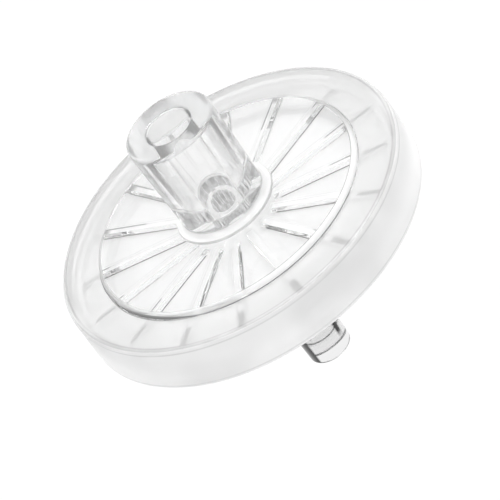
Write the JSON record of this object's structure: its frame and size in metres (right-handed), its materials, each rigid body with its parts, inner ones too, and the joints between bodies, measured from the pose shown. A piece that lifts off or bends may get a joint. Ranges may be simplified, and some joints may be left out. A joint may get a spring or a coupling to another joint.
{
  "type": "syringe filter",
  "caption": "Disc-shaped syringe filter: clear ribbed housings round a membrane, frosted rim, tapered socket inlet on top and tapered slip-tip outlet below.",
  "frame": {"origin": "centre of the inlet hub's mouth face, where the syringe tip enters", "axes": "+Z along the flow axis, up out of the inlet mouth; the disc is square to it and the outlet tip points down -Z; a rib lies along +X"},
  "size_m": [0.033, 0.033, 0.0289],
  "materials": {
    "clear_plastic": "clear polished moulded plastic",
    "frosted_plastic": "translucent frosted moulded plastic",
    "membrane": "matt white porous sheet"
  },
  "bodies": {
    "root": {"inlet_hub": "clear_plastic", "inlet_plate": "clear_plastic", "membrane": "membrane", "outlet_plate": "clear_plastic", "outlet_tip": "clear_plastic", "rim": "frosted_plastic"}
  },
  "joints": []
}
